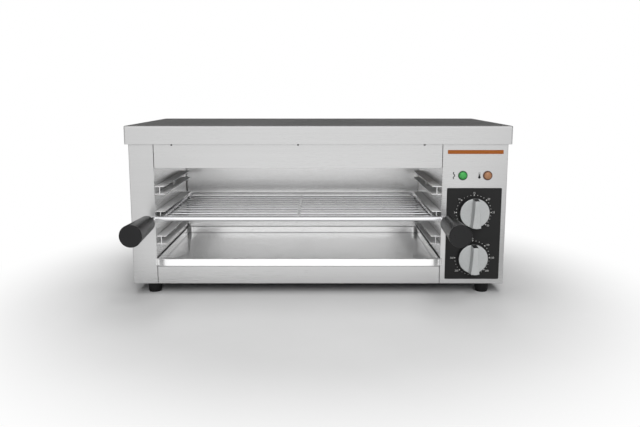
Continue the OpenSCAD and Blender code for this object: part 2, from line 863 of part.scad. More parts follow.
module thermostat_body() {
    flange = 30;
    color([0.85, 0.84, 0.80]) difference() {
        union() {
            translate([knob_x, inside_y, thermostat_z]) rotate([-90, 0, 0])
                linear_extrude(1.5) rounded(thermostat_d + 10, flange / 2, 3);
            bar_along_y(knob_x, inside_y + 1.5, inside_y + thermostat_l, thermostat_z,
                thermostat_d);
            block([knob_x - switch_w / 2, inside_y + thermostat_l, thermostat_z - switch_w / 2],
                [knob_x + switch_w / 2, inside_y + thermostat_l + switch_l,
                    thermostat_z + switch_w / 2]);
        }
        control_bore(thermostat_z);
    }
    color(brass_c) for (x = [-1, 0, 1])
        tab(knob_x + x * thermostat_tab_x, thermostat_tab_y, thermostat_z);
}

// The knob's grip seen from the front: narrow at the pointer end, waisted, flared below
module grip_outline() {
    // Half of the width at t, which runs from -1 at the flare to 1 at the pointer
    function half_w(t) =
        (grip_waist_w + ((t > 0 ? grip_tip_w : grip_flare_w) - grip_waist_w) * t * t) / 2;
    rows = [for (i = [-grip_steps : grip_steps]) i / grip_steps];
    right = [for (t = rows) [half_w(t), t * knob_d / 2]];
    left = [for (i = [len(rows) - 1 : -1 : 0]) [-right[i].x, right[i].y]];
    polygon(concat(right, left));
}

// A knob, its back at knob_y1; the pointer stands up at rest
module knob(z) {
    translate([knob_x, knob_y1, z]) rotate([90, 0, 0]) difference() {
        union() {
            rotate_extrude() polygon(concat(
                [[0, 0], [knob_d / 2, 0], [knob_d / 2, knob_base_h - knob_edge_r]],
                [for (a = [15 : 15 : 90]) [knob_d / 2 - knob_edge_r * (1 - cos(a)),
                    knob_base_h - knob_edge_r * (1 - sin(a))]],
                [[0, knob_base_h]]));
            intersection() {
                translate([0, 0, knob_base_h / 2])
                    linear_extrude(knob_base_h / 2 + grip_h) grip_outline();
                cylinder(r = knob_d / 2 - fit, h = knob_base_h + grip_h + cut);
            }
        }
        translate([0, 0, -cut]) cylinder(d = shaft_d + 2 * running, h = socket_l + cut);
        translate([0, 0, -cut]) difference() {
            cylinder(d = knob_d - 6, h = 5 + cut);
            cylinder(d = shaft_d + 8, h = 6 + cut);
        }
    }
}

// A control's shaft
module shaft(z) {
    color(bright_c) bar_along_y(knob_x, shaft_y0, inside_y + shaft_in, z, shaft_d);
}

module timer_knob() { color(knob_c) knob(timer_z); }
module timer_shaft() { shaft(timer_z); }
module thermostat_knob() { color(knob_c) knob(thermostat_z); }
module thermostat_shaft() { shaft(thermostat_z); }

// A lamp's lens: a rim on the panel, a low dome and a barrel through the panel
module lens(x) {
    translate([x, casing_y, lamp_z]) rotate([90, 0, 0]) {
        rotate_extrude() polygon(concat(
            [[0, 0], [lamp_d / 2, 0], [lamp_d / 2, lamp_rim_t * 0.6],
             [lamp_d / 2 - 0.7, lamp_rim_t], [lamp_barrel_d / 2, lamp_rim_t]],
            [for (a = [15 : 15 : 90]) [lamp_barrel_d / 2 * cos(a),
                lamp_rim_t + lamp_dome_h * sin(a)]]));
        translate([0, 0, -lamp_barrel_l]) cylinder(d = lamp_barrel_d, h = lamp_barrel_l);
    }
}

module green_lens() { color([0.25, 0.65, 0.32]) lens(lamp_xs()[0]); }
module amber_lens() { color([0.72, 0.50, 0.34]) lens(lamp_xs()[1]); }

module lamp_bodies() {
    color(black_c) for (x = lamp_xs()) difference() {
        union() {
            bar_along_y(x, inside_y, inside_y + 3, lamp_z, lamp_d + 3);
            bar_along_y(x, inside_y + 3, inside_y + lamp_body_l, lamp_z, lamp_d);
            for (side = [-1, 1]) tab(x + side * lamp_tab_x, lamp_tab_y, lamp_z, tab_w / 2);
        }
        bar_along_y(x, inside_y - cut, casing_y + lamp_barrel_l, lamp_z,
            lamp_barrel_d + 2 * running);
    }
}

// ---- Sensor ----

module sensor_bulb() {
    color([0.72, 0.45, 0.30]) bar_along_y(bulb_x, bulb_y0, bulb_y0 + bulb_l, bulb_z, bulb_d);
}

module capillary_tube() {
    pass_x = cavity_x1 + liner_t + lead_gap;
    y = bulb_y0 - 6;
    color([0.72, 0.45, 0.30]) wire([[bulb_x, bulb_y0, bulb_z], [bulb_x, y, bulb_z],
        [pass_x, y, bulb_z], [pass_x, y - 2 * lead_gap, bulb_z - 2 * loom_drop],
        [pass_x, thermostat_tab_y + 3 * lead_gap, thermostat_z],
        [knob_x - lead_gap, thermostat_tab_y + 2 * lead_gap, thermostat_z - lead_gap],
        [knob_x - lead_gap, thermostat_tab_y - tab_l, thermostat_z - lead_gap]],
        capillary_d);
}

module bulb_clips() {
    color(bright_c) for (y = [bulb_y0 + 12, bulb_y0 + bulb_l - 12 - clip_w]) difference() {
        union() {
            bar_along_y(bulb_x, y, y + clip_w, bulb_z, bulb_d + 2 * clip_wall);
            block([bulb_x, y, bulb_z - clip_wall / 2],
                [cavity_x1 - clip_wall, y + clip_w, bulb_z + clip_wall / 2]);
            block([cavity_x1 - clip_wall, y, bulb_z - 5], [cavity_x1, y + clip_w, bulb_z + 5]);
        }
        bar_along_y(bulb_x, y - cut, y + clip_w + cut, bulb_z, bulb_d + 2 * running);
    }
}

// ---- Supply ----

module terminal_block() {
    color(ceramic_c) difference() {
        block([block_x0, block_y0, block_z0],
            [block_x0 + block_w, block_y0 + block_d, block_z0 + block_h]);
        for (k = [0 : block_ways - 1], y = [well_l, block_d - well_l])
            translate([block_x0 + block_w * (k + 0.5) / block_ways, block_y0 + y,
                block_z0 + block_h - well_l]) cylinder(d = well_d, h = well_l + cut);
    }
}

// A lead's end at the way k of the terminal block, moved sideways within the way
function block_lead(k, side) = let (x = block_x0 + block_w * (k + 0.5) / block_ways + side * lead_d)
    [[x, block_y0, lead_z], [x, block_y0 - lead_out, lead_z]];

// A lead's end at a tab that points back, and at a heating element's stud
function tab_lead(x, y, z) = [[x, y + lead_out, z], [x, y, z]];
function stud_lead(k) = [[stud_x + lead_out, pass_y(k), element_z],
    [stud_x, pass_y(k), element_z]];
function reversed(list) = [for (i = [len(list) - 1 : -1 : 0]) list[i]];

// Supply to the timer and the green lamp, timer to thermostat, thermostat to the front
// element and the amber lamp, front element to rear element
module live_wiring() {
    color([0.45, 0.25, 0.12]) {
        wire(concat(block_lead(2, -0.8), [[knob_x + loom_w, loom_y, timer_z - loom_drop]],
            tab_lead(knob_x + timer_tab_x, timer_tab_y, timer_z)), lead_d);
        wire(concat(block_lead(2, 1), [[knob_x + loom_w + 2 * lead_d, loom_y,
            lamp_z + loom_drop], [lamp_xs()[0], loom_y, lamp_z + loom_drop]],
            tab_lead(lamp_xs()[0] - lamp_tab_x, lamp_tab_y, lamp_z)), lead_d);
        wire(concat(reversed(tab_lead(knob_x - timer_tab_x, timer_tab_y, timer_z)),
            [[knob_x, thermostat_tab_y + 2 * lead_out, thermostat_z + loom_drop]],
            tab_lead(knob_x, thermostat_tab_y, thermostat_z)), lead_d);
        wire(concat(reversed(tab_lead(knob_x - thermostat_tab_x, thermostat_tab_y,
            thermostat_z)), [for (z = [thermostat_z + loom_drop, element_z - 2 * loom_drop])
                [stud_x - lead_out / 2, pass_y(0) + lead_out, z]], stud_lead(0)), lead_d);
        wire(concat(reversed(tab_lead(knob_x + thermostat_tab_x, thermostat_tab_y,
            thermostat_z)), [[inside_x - lead_gap, thermostat_tab_y + 2 * lead_out,
                thermostat_z + loom_drop], [inside_x - lead_gap, lamp_tab_y + lead_out, lamp_z]],
            tab_lead(lamp_xs()[1] + lamp_tab_x, lamp_tab_y, lamp_z)), lead_d);
        wire(concat(reversed(stud_lead(3)), [[stud_x + lead_out, (pass_y(3) + pass_y(4)) / 2,
            element_z - lead_gap]], stud_lead(4)), lead_d);
    }
}

// Supply to the rear element and to both lamps
module neutral_wiring() {
    color([0.12, 0.25, 0.60]) {
        wire(concat(block_lead(1, -1.5), [[stud_x + 2 * lead_out, pass_y(7) - lead_out,
            element_z - 2 * loom_drop]], stud_lead(7)), lead_d);
        for (k = [0, 1]) {
            x = lamp_xs()[k] + (k == 0 ? 1 : -1) * lamp_tab_x;
            wire(concat(block_lead(1, 1.5 * k), [[x + lead_out * (k - 1),
                loom_y + lead_out, lamp_z - loom_drop]], tab_lead(x, lamp_tab_y, lamp_z)),
                lead_d);
        }
    }
}

module earth_wiring() {
    color([0.45, 0.62, 0.15]) wire([[block_x0, earth_y, lead_z],
        [block_x0 - 2 * lead_d, earth_y, lead_z],
        [earth_x, earth_y, inside_z + earth_h + 3 * lead_d],
        [earth_x, earth_y, inside_z + earth_h]], lead_d);
}

module earth_stud() {
    color(brass_c) translate([earth_x, earth_y, inside_z]) {
        cylinder(d = earth_d, h = earth_h);
        cylinder(d = earth_nut_d, h = earth_nut_t, $fn = 6);
    }
}

// The gland that the supply cord would pass: a hexagon outside, a thread inside
module cord_gland() {
    color(black_c) difference() {
        union() {
            bar_along_y(gland_x, inside_back_y - gland_in, casing_back_y, gland_z,
                gland_thread_d);
            translate([gland_x, casing_back_y, gland_z]) rotate([-90, 0, 0])
                cylinder(d = gland_head_d, h = gland_head_t, $fn = 6);
            translate([gland_x, casing_back_y + gland_head_t, gland_z]) rotate([-90, 0, 0])
                cylinder(d = gland_dome_d, h = gland_dome_t);
        }
        bar_along_y(gland_x, inside_back_y - gland_in - cut,
            casing_back_y + gland_head_t + gland_dome_t + cut, gland_z, gland_bore_d);
    }
}

module gland_nut() {
    color(black_c) difference() {
        translate([gland_x, inside_back_y - gland_nut_t, gland_z]) rotate([-90, 0, 0])
            cylinder(d = gland_nut_d, h = gland_nut_t, $fn = 6);
        bar_along_y(gland_x, inside_back_y - gland_nut_t - cut, inside_back_y + cut, gland_z,
            gland_thread_d + 2 * running);
    }
}

// ---- Feet and screws ----

module foot(side, end) {
    edge = 1.5;
    color(rubber_c) translate([foot_x(side), foot_y(end), 0]) difference() {
        rotate_extrude() polygon([[0, 0], [foot_bottom_d / 2 - edge, 0],
            [foot_bottom_d / 2 - edge * 0.3, edge * 0.3], [foot_bottom_d / 2, edge],
            [foot_top_d / 2, foot_h], [0, foot_h]]);
        translate([0, 0, -cut]) cylinder(d = head_d + 2, h = foot_h - foot_floor + cut);
        cylinder(d = screw_d + 2 * running, h = foot_h + cut);
    }
}

module front_left_foot() { foot(-1, -1); }
module front_right_foot() { foot(1, -1); }
module rear_left_foot() { foot(-1, 1); }
module rear_right_foot() { foot(1, 1); }

module foot_screws() {
    color(bright_c) for (side = [-1, 1], end = [-1, 1])
        translate([foot_x(side), foot_y(end), foot_h - foot_floor]) rotate([180, 0, 0])
            screw(foot_floor + sheet + screw_grip, hh = foot_screw_head_h);
}

module cover_screws() {
    shank = cover_overhang + sheet + screw_grip;
    color(bright_c) for (y = cover_screw_ys) {
        for (side = [-1, 1])
            translate([side * cover_w / 2, y, cover_screw_z]) rotate([0, side * 90, 0])
                screw(shank, hh = cover_head_h);
    }
}

module base_screws() {
    color(bright_c) base_screw_places() rotate([180, 0, 0]) screw(2 * sheet + screw_grip);
}

module back_screws() {
    color(bright_c) for (x = back_screw_xs, z = back_screw_zs)
        translate([x, casing_back_y, z]) rotate([-90, 0, 0]) screw(2 * sheet + screw_grip);
}

// ---- Rack ----

bar_x0 = cavity_x0 - handle_out;
bar_x1 = cavity_x1 + handle_out;

// The front bar, bent forward at both ends to carry the handles
module rack_front_bar() {
    color(bright_c) {
        bar_along_x(bar_x0 + bar_bend_r, bar_x1 - bar_bend_r, bar_y, bar_z, bar_d);
        bend([bar_x0 + bar_bend_r, bar_front_y, bar_z], 90, bar_bend_r, bar_d);
        bend([bar_x1 - bar_bend_r, bar_front_y, bar_z], 0, bar_bend_r, bar_d);
        for (x = [bar_x0, bar_x1])
            bar_along_y(x, handle_y1 - handle_bore_l, bar_front_y, bar_z, bar_d);
    }
}

// A half turn of rod, upright along X, on its way round from angle a
module upright_turn(centre, a, bend_r, d) {
    translate(centre) rotate([90, 0, 0]) rotate([0, 0, a])
        rotate_extrude(angle = 180) translate([bend_r, 0]) circle(d = d);
}

// The rod frame: two runners joined by the back rod, a rod down the middle, and the back stop,
// whose ends turn down on the back rod
module rack_frame() {
    x0 = cavity_x0 + rod_inset;
    x1 = cavity_x1 - rod_inset;
    color(bright_c) {
        for (x = [x0, x1]) bar_along_y(x, bar_y, rack_back_y - rack_bend_r, rod_z, rod_d);
        bend([x0 + rack_bend_r, rack_back_y - rack_bend_r, rod_z], 90, rack_bend_r, rod_d);
        bend([x1 - rack_bend_r, rack_back_y - rack_bend_r, rod_z], 0, rack_bend_r, rod_d);
        bar_along_x(x0 + rack_bend_r, x1 - rack_bend_r, rack_back_y, rod_z, rod_d);
        bar_along_y(cavity_x, bar_y, rack_back_y, centre_rod_z, centre_rod_d);
        bar_along_x(cavity_x0 + stop_inset, cavity_x1 - stop_inset, rack_back_y,
            rod_z + stop_rise, stop_d);
        for (end = [[cavity_x0 + stop_inset, 90], [cavity_x1 - stop_inset, -90]])
            upright_turn([end[0], rack_back_y, rod_z - stop_sink + stop_turn_r], end[1],
                stop_turn_r, stop_d);
    }
}

module rack_cross_wires() {
    weld = 1;
    x0 = cavity_x0 + rod_inset + rod_d / 2 - weld;
    x1 = cavity_x1 - rod_inset - rod_d / 2 + weld;
    color(bright_c) for (k = [0 : wire_count - 1])
        bar_along_x(x0, x1, bar_y + first_wire + k * wire_pitch, wire_z, wire_d);
}

// A tapered handle with soft ends, pushed on the bar's end
module handle(x) {
    edge = 1.2;
    back_round = 4;
    color(black_c) translate([x, handle_y1, bar_z - handle_drop]) rotate([90, 0, 0]) difference() {
        rotate_extrude() polygon(concat([[0, 0]],
            [for (a = [0 : 15 : 90]) [handle_back_d / 2 - back_round * (1 - sin(a)),
                back_round * (1 - cos(a))]],
            [for (a = [0 : 30 : 90]) [handle_front_d / 2 - edge * (1 - cos(a)),
                handle_l - edge * (1 - sin(a))]],
            [[0, handle_l]]));
        translate([0, handle_drop, -cut])
            cylinder(d = bar_d + 2 * running, h = handle_bore_l + cut);
    }
}

module left_handle() { handle(bar_x0); }
module right_handle() { handle(bar_x1); }

// ---- Drip tray ----

// The pan's outline in plan, drawn in by an inset
module pan_outline(inset) {
    r = tray_rear_r - inset;
    x0 = tray_x0 + inset;
    x1 = tray_x1 - inset;
    y0 = tray_y0 + inset;
    y1 = tray_y1 - inset;
    translate([x0, y0]) square([x1 - x0, y1 - r - y0]);
    translate([x0 + r, y0]) square([x1 - x0 - 2 * r, y1 - y0]);
    for (x = [x0 + r, x1 - r]) translate([x, y1 - r]) circle(r = r);
}

// The front rim, drawn in by an inset: a bar with curved ends in front of the cabinet, and
// behind it a narrower part that fits the opening
module rim_form(inset, z0, z1) {
    centres = [rim_x0 + rim_curve_l, rim_x1 - rim_curve_l];
    intersection() {
        block([rim_x0 + inset, rim_y0 + inset, z0], [rim_x1 - inset, rim_y1 - inset, z1]);
        union() {
            block([centres[0], rim_y0, z0], [centres[1], rim_y1, z1]);
            for (x = centres) translate([x, rim_y0 + rim_curve_r, z0])
                cylinder(r = rim_curve_r - inset, h = z1 - z0, $fn = 180);
        }
    }
    block([tray_x0 + inset, (rim_y0 + rim_y1) / 2, z0],
        [tray_x1 - inset, casing_y + rim_in - inset, z1]);
}

// A pan with a folded rim along its front, open below
module drip_tray() {
    top = tray_z + tray_h;
    color(bright_c) {
        translate([0, 0, tray_z]) difference() {
            linear_extrude(tray_h) pan_outline(0);
            translate([0, 0, tray_t]) linear_extrude(tray_h) pan_outline(tray_t);
        }
        difference() {
            rim_form(0, top - rim_h, top);
            rim_form(tray_t, top - rim_h - cut, top - tray_t);
        }
    }
}

top_cover();
left_side_panel();
right_side_panel();
control_panel();
dial_plate();
accent_stripe();
upper_fascia();
lower_fascia();
base_panel();
back_panel();
left_liner();
right_liner();
back_liner();
cavity_floor();
reflector();
insulation_pad();
left_rail_lower();
left_rail_middle();
left_rail_upper();
right_rail_lower();
right_rail_middle();
right_rail_upper();
front_element();
rear_element();
element_brackets();
element_bushes();
element_terminals();
timer_body();
thermostat_body();
sensor_bulb();
capillary_tube();
bulb_clips();
green_lens();
amber_lens();
lamp_bodies();
terminal_block();
live_wiring();
neutral_wiring();
earth_wiring();
earth_stud();
cord_gland();
gland_nut();
front_left_foot();
front_right_foot();
rear_left_foot();
rear_right_foot();
foot_screws();
cover_screws();
base_screws();
back_screws();
rack_front_bar();
rack_frame();
rack_cross_wires();
left_handle();
right_handle();
drip_tray();
timer_knob();
timer_shaft();
thermostat_knob();
thermostat_shaft();
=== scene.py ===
import math

import bmesh
import bpy
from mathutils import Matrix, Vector


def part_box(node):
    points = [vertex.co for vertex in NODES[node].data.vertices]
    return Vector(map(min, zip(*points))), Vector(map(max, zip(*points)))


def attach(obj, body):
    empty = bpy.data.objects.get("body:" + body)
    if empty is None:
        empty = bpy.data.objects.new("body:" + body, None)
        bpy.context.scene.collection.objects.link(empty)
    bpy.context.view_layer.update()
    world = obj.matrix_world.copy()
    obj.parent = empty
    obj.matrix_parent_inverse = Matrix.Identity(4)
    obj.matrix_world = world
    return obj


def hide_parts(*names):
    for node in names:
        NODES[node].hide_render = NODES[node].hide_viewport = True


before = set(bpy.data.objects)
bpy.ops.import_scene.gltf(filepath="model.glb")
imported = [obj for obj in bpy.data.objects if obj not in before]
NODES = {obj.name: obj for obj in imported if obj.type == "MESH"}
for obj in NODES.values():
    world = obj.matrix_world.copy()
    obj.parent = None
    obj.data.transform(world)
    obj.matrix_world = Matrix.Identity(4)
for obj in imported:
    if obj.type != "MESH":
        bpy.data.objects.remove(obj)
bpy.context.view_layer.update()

# Electric cheese melter. Metres, +X right, +Z up, the open front faces -Y.

MM = 0.001


# ---- Colours and node trees ----

def rgb(red, green, blue):
    """A colour given as 0 to 255 display values, as the linear values that Blender takes."""
    def linear(value):
        value /= 255
        return value / 12.92 if value <= 0.04045 else ((value + 0.055) / 1.055) ** 2.4
    return (linear(red), linear(green), linear(blue), 1.0)


def shade(colour, factor):
    """The same colour, lighter or darker."""
    return tuple(min(1.0, c * factor) for c in colour[:3]) + (1.0,)


class Net:
    """A node tree that is built with short calls."""

    def __init__(self, tree):
        self.tree = tree
        tree.nodes.clear()

    def add(self, kind, *inputs, **named):
        """A node; inputs are (socket, value or output) pairs, named are its settings."""
        node = self.tree.nodes.new("ShaderNode" + kind)
        for key, value in named.items():
            setattr(node, key, value)
        for socket, value in inputs:
            if isinstance(value, bpy.types.NodeSocket):
                self.tree.links.new(value, node.inputs[socket])
            else:
                node.inputs[socket].default_value = value
        return node

    def maths(self, operation, a, b=0.0):
        return self.add("Math", (0, a), (1, b), operation=operation).outputs[0]

    def remap(self, value, a, b, c, d, smooth=False):
        """value, taken from the range a..b to c..d and held inside it."""
        kind = "SMOOTHSTEP" if smooth else "LINEAR"
        return self.add("MapRange", ("Value", value), ("From Min", a), ("From Max", b),
            ("To Min", c), ("To Max", d), interpolation_type=kind).outputs["Result"]

    def mix(self, factor, a, b):
        """A colour between a and b."""
        return self.add("Mix", (0, factor), (6, a), (7, b), data_type="RGBA").outputs[2]

    def between(self, factor, a, b):
        """A number between a and b."""
        return self.add("Mix", (0, factor), (2, a), (3, b)).outputs[0]

    def noise(self, vector, scale, detail, roughness):
        return self.add("TexNoise", ("Vector", vector), ("Scale", scale), ("Detail", detail),
            ("Roughness", roughness)).outputs["Fac"]

    def stretch(self, vector, x, y, z):
        return self.add("VectorMath", (0, vector), (1, (x, y, z)), operation="MULTIPLY").outputs[0]

    def normal(self):
        return self.add("NewGeometry").outputs["Normal"]

    def window(self, value, rise, fall):
        """1 between two soft steps, and 0 outside them."""
        return self.maths("MULTIPLY", self.remap(value, *rise, 0.0, 1.0, smooth=True),
            self.remap(value, *fall, 1.0, 0.0, smooth=True))

    def mirror_rays(self, rays):
        """1 where a polished or clear face looks, and 0 elsewhere."""
        return self.maths("MAXIMUM", rays["Is Glossy Ray"], rays["Is Transmission Ray"])


def material(name):
    """A new material: its net, its Principled shader and its object coordinates."""
    made = bpy.data.materials.new(name)
    made.use_nodes = True
    net = Net(made.node_tree)
    net.material = made
    shader = net.add("BsdfPrincipled")
    net.add("OutputMaterial", ("Surface", shader.outputs[0]))
    place = net.add("TexCoord").outputs["Object"]
    return net, shader, place


def plug(net, shader, socket, value):
    """Sets a socket of the shader to a value or an output."""
    if isinstance(value, bpy.types.NodeSocket):
        net.tree.links.new(value, shader.inputs[socket])
    else:
        shader.inputs[socket].default_value = value


def edges(net, radius):
    """A softly rounded normal, and a mask that is 1 on the object's sharp edges."""
    rounded = net.add("Bevel", ("Radius", radius), samples=6).outputs[0]
    alike = net.add("VectorMath", (0, rounded), (1, net.normal()), operation="DOT_PRODUCT")
    mask = net.remap(alike.outputs["Value"], 0.98, 0.80, 0.0, 1.0)
    return rounded, mask


def relief(net, shader, normal, height, depth, strength):
    """Fine relief over a normal."""
    bump = net.add("Bump", ("Height", height), ("Distance", depth), ("Strength", strength),
        ("Normal", normal))
    plug(net, shader, "Normal", bump.outputs[0])


def facing(net):
    """Whether a face looks along X, and whether along Z, each 0 or 1."""
    normal = net.add("SeparateXYZ", (0, net.normal())).outputs
    return [net.maths("GREATER_THAN", net.maths("ABSOLUTE", normal[axis]), 0.7)
        for axis in (0, 2)]


def grain(net, place, look_x, along, across, detail, roughness):
    """Noise drawn out along X, or along Y on the faces that look along X."""
    wide = net.noise(net.stretch(place, along, across, across), 1, detail, roughness)
    deep = net.noise(net.stretch(place, across, along, across), 1, detail, roughness)
    return net.between(look_x, wide, deep)


def brushed(name, colour, rough):
    """Sheet steel with a level grain, faint smears and a painted highlight on its folded edges."""
    net, shader, place = material(name)
    look_x, look_z = facing(net)
    rounded, mask = edges(net, 0.0007)
    fine = grain(net, place, look_x, 22, 2600, 3, 0.6)
    broad = grain(net, place, look_x, 3, 260, 2, 0.5)
    smear = net.noise(place, 6, 2, 0.5)
    tone = net.maths("ADD", net.remap(fine, 0.3, 0.7, -0.08, 0.08),
        net.remap(broad, 0.3, 0.7, -0.05, 0.05))
    steel = net.mix(net.maths("ADD", tone, 0.5), shade(colour, 0.9), shade(colour, 1.1))
    # Painted highlight: the base colour is lighter on the sheet's edges
    plug(net, shader, "Base Color", net.mix(net.maths("MULTIPLY", mask, 0.5), steel,
        shade(colour, 1.2)))
    plug(net, shader, "Metallic", 1.0)
    base = net.remap(fine, 0.3, 0.7, rough - 0.04, rough + 0.04)
    plug(net, shader, "Roughness", net.maths("ADD", base,
        net.remap(smear, 0.35, 0.7, -0.01, 0.02)))
    plug(net, shader, "Anisotropic", 0.55)
    across = net.add("CombineXYZ", (1, look_z), (2, net.maths("SUBTRACT", 1.0, look_z)))
    plug(net, shader, "Tangent", across.outputs[0])
    relief(net, shader, rounded, fine, 0.00001, 0.2)
    return net.material


def satin(name, colour, rough, body, radius=0.0006):
    """Bright annealed sheet: a soft, even gloss, faint rolling lines, painted shade in folds and
    gaps, and a painted highlight on its edges.
    """
    net, shader, place = material(name)
    rounded, mask = edges(net, radius)
    roll = net.noise(net.stretch(place, 2, 2, 160), 1, 0, 0.5)
    tone = net.mix(net.remap(roll, 0.2, 0.8, 0.0, 1.0), shade(colour, 0.99), shade(colour, 1.01))
    # Painted highlight: the base colour is lighter on the sheet's edges
    tone = net.mix(net.maths("MULTIPLY", mask, 0.6), tone, shade(colour, 1.1))
    # Painted shade: the base colour darkens where ambient occlusion finds folds, creases and gaps
    open_sky = net.add("AmbientOcclusion", ("Distance", 0.003), samples=4).outputs["AO"]
    painted_crease_shade = net.remap(open_sky, 0.35, 0.9, 0.5, 0.0)
    plug(net, shader, "Base Color", net.mix(painted_crease_shade, tone, shade(colour, 0.1)))
    plug(net, shader, "Metallic", 1.0 - body)
    plug(net, shader, "Roughness", net.remap(roll, 0.2, 0.8, rough - 0.004, rough + 0.004))
    plug(net, shader, "Normal", rounded)
    return net.material


def galvanised(name, colour, rough):
    """Zinc-coated sheet with a faint spangle and a painted highlight on its edges."""
    net, shader, place = material(name)
    rounded, mask = edges(net, 0.0006)
    cells = net.add("TexVoronoi", ("Vector", place), ("Scale", 95), ("Randomness", 1.0))
    cell = net.add("SeparateColor", (0, cells.outputs["Color"])).outputs[0]
    cloud = net.noise(place, 30, 5, 0.6)
    zinc = net.mix(cell, shade(colour, 0.88), shade(colour, 1.1))
    zinc = net.mix(net.remap(cloud, 0.3, 0.7, 0.0, 0.35), zinc, shade(colour, 0.8))
    # Painted highlight: the base colour is lighter on the sheet's edges
    plug(net, shader, "Base Color", net.mix(net.maths("MULTIPLY", mask, 0.5), zinc,
        shade(colour, 1.25)))
    plug(net, shader, "Metallic", 1.0)
    plug(net, shader, "Roughness", net.maths("ADD", net.remap(cell, 0, 1, rough - 0.05,
        rough + 0.05), net.remap(cloud, 0.3, 0.7, -0.03, 0.05)))
    relief(net, shader, rounded, cloud, 0.00005, 0.3)
    return net.material


def polished(name, colour, rough, marks=0.04, painted_underside_shade=1.0):
    """Plated or polished metal with faint hairlines and fingerprints, and when asked painted shade
    that darkens the faces that look down.
    """
    net, shader, place = material(name)
    rounded = edges(net, 0.0004)[0]
    hair = net.noise(net.stretch(place, 60, 900, 1400), 1, 3, 0.7)
    cloud = net.noise(place, 22, 4, 0.6)
    plate = net.mix(net.remap(cloud, 0.35, 0.7, 0.0, 0.5), colour, shade(colour, 0.92))
    if painted_underside_shade < 1.0:
        # Painted shade: faces that look down get a darker base colour
        up = net.add("SeparateXYZ", (0, net.normal())).outputs[2]
        plate = net.mix(net.remap(up, -0.45, 0.05, 0.0, 1.0), shade(colour, painted_underside_shade), plate)
    plug(net, shader, "Base Color", plate)
    plug(net, shader, "Metallic", 1.0)
    plug(net, shader, "Roughness", net.maths("ADD", net.remap(cloud, 0.35, 0.75, rough,
        rough + marks), net.remap(hair, 0.55, 0.75, 0.0, marks)))
    relief(net, shader, rounded, hair, 0.00001, 0.2)
    return net.material


def moulded(name, colour, rough, specular, pit, depth=0.00006, worn=0.25, edge=0.0006,
            speck=0.06):
    """Moulded plastic, rubber or enamel: fine texture, uneven gloss, rubbed edges."""
    net, shader, place = material(name)
    rounded, mask = edges(net, edge)
    grit = net.noise(place, pit, 3, 0.6)
    cloud = net.noise(place, 28, 4, 0.55)
    tone = net.mix(net.remap(grit, 0.3, 0.7, 0.0, 1.0), shade(colour, 1 - speck),
        shade(colour, 1 + speck))
    tone = net.mix(net.remap(cloud, 0.35, 0.75, 0.0, 0.3), tone, shade(colour, 0.88))
    rubbed = tuple(c + (0.5 - c) * 0.25 for c in colour[:3]) + (1.0,)
    plug(net, shader, "Base Color", net.mix(net.maths("MULTIPLY", mask, worn), tone, rubbed))
    plug(net, shader, "Roughness", net.maths("ADD", net.remap(grit, 0.3, 0.7, rough - 0.04,
        rough + 0.04), net.remap(cloud, 0.3, 0.7, -0.04, 0.05)))
    plug(net, shader, "Specular IOR Level", specular)
    relief(net, shader, rounded, grit, depth, 0.5)
    return net.material


def oxidised(name, colour, tint):
    """A heating element's sheath: dark, heat-stained metal."""
    net, shader, place = material(name)
    stain = net.noise(place, 26, 5, 0.65)
    grit = net.noise(place, 700, 3, 0.6)
    plug(net, shader, "Base Color", net.mix(net.remap(stain, 0.35, 0.68, 0.0, 1.0),
        colour, tint))
    plug(net, shader, "Metallic", 0.7)
    plug(net, shader, "Roughness", net.remap(stain, 0.3, 0.7, 0.42, 0.62))
    relief(net, shader, net.normal(), grit, 0.00005, 0.5)
    return net.material


def fibrous(name, colour):
    """Mineral wool: matted fibres with open gaps."""
    net, shader, place = material(name)
    fibre = net.noise(net.stretch(place, 160, 420, 900), 1, 6, 0.75)
    tuft = net.noise(place, 55, 5, 0.7)
    both = net.maths("ADD", net.maths("MULTIPLY", fibre, 0.6), net.maths("MULTIPLY", tuft, 0.4))
    plug(net, shader, "Base Color", net.mix(net.remap(both, 0.35, 0.65, 0.0, 1.0),
        shade(colour, 0.6), shade(colour, 1.15)))
    plug(net, shader, "Roughness", net.remap(tuft, 0.3, 0.7, 0.85, 0.97))
    plug(net, shader, "Sheen Weight", 0.25)
    relief(net, shader, net.normal(), both, 0.0012, 0.8)
    return net.material


LENS_RIM = (0.0049, 0.0064)     # radii between which a lens darkens


def lens_plastic(name, colour, deep, centre):
    """A lamp's lens: clear-coated tinted plastic, darker at the rim, with a prismatic inside."""
    net, shader, place = material(name)
    local = net.add("VectorMath", (0, place), (1, centre), operation="SUBTRACT").outputs[0]
    flat = net.stretch(local, 1, 0, 1)
    radius = net.add("VectorMath", (0, flat), operation="LENGTH").outputs["Value"]
    cells = net.add("TexVoronoi", ("Vector", flat), ("Scale", 620), ("Randomness", 0.15),
        distance="CHEBYCHEV").outputs["Distance"]
    cloud = net.noise(place, 160, 3, 0.6)
    rim = net.remap(radius, *LENS_RIM, 0.0, 1.0, smooth=True)
    inner = net.mix(net.remap(cells, 0.1, 0.6, 0.0, 0.35), colour, deep)
    inner = net.mix(net.remap(cloud, 0.35, 0.7, 0.0, 0.25), inner, shade(colour, 1.2))
    plug(net, shader, "Base Color", net.mix(rim, inner, deep))
    plug(net, shader, "Roughness", net.remap(cells, 0.1, 0.7, 0.2, 0.32))
    plug(net, shader, "Coat Weight", 0.4)
    plug(net, shader, "Coat Roughness", 0.06)
    relief(net, shader, net.normal(), cells, 0.0002, 0.4)
    return net.material


def node_centre(node):
    """The middle of a node's box."""
    low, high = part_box(node)
    return (low + high) / 2


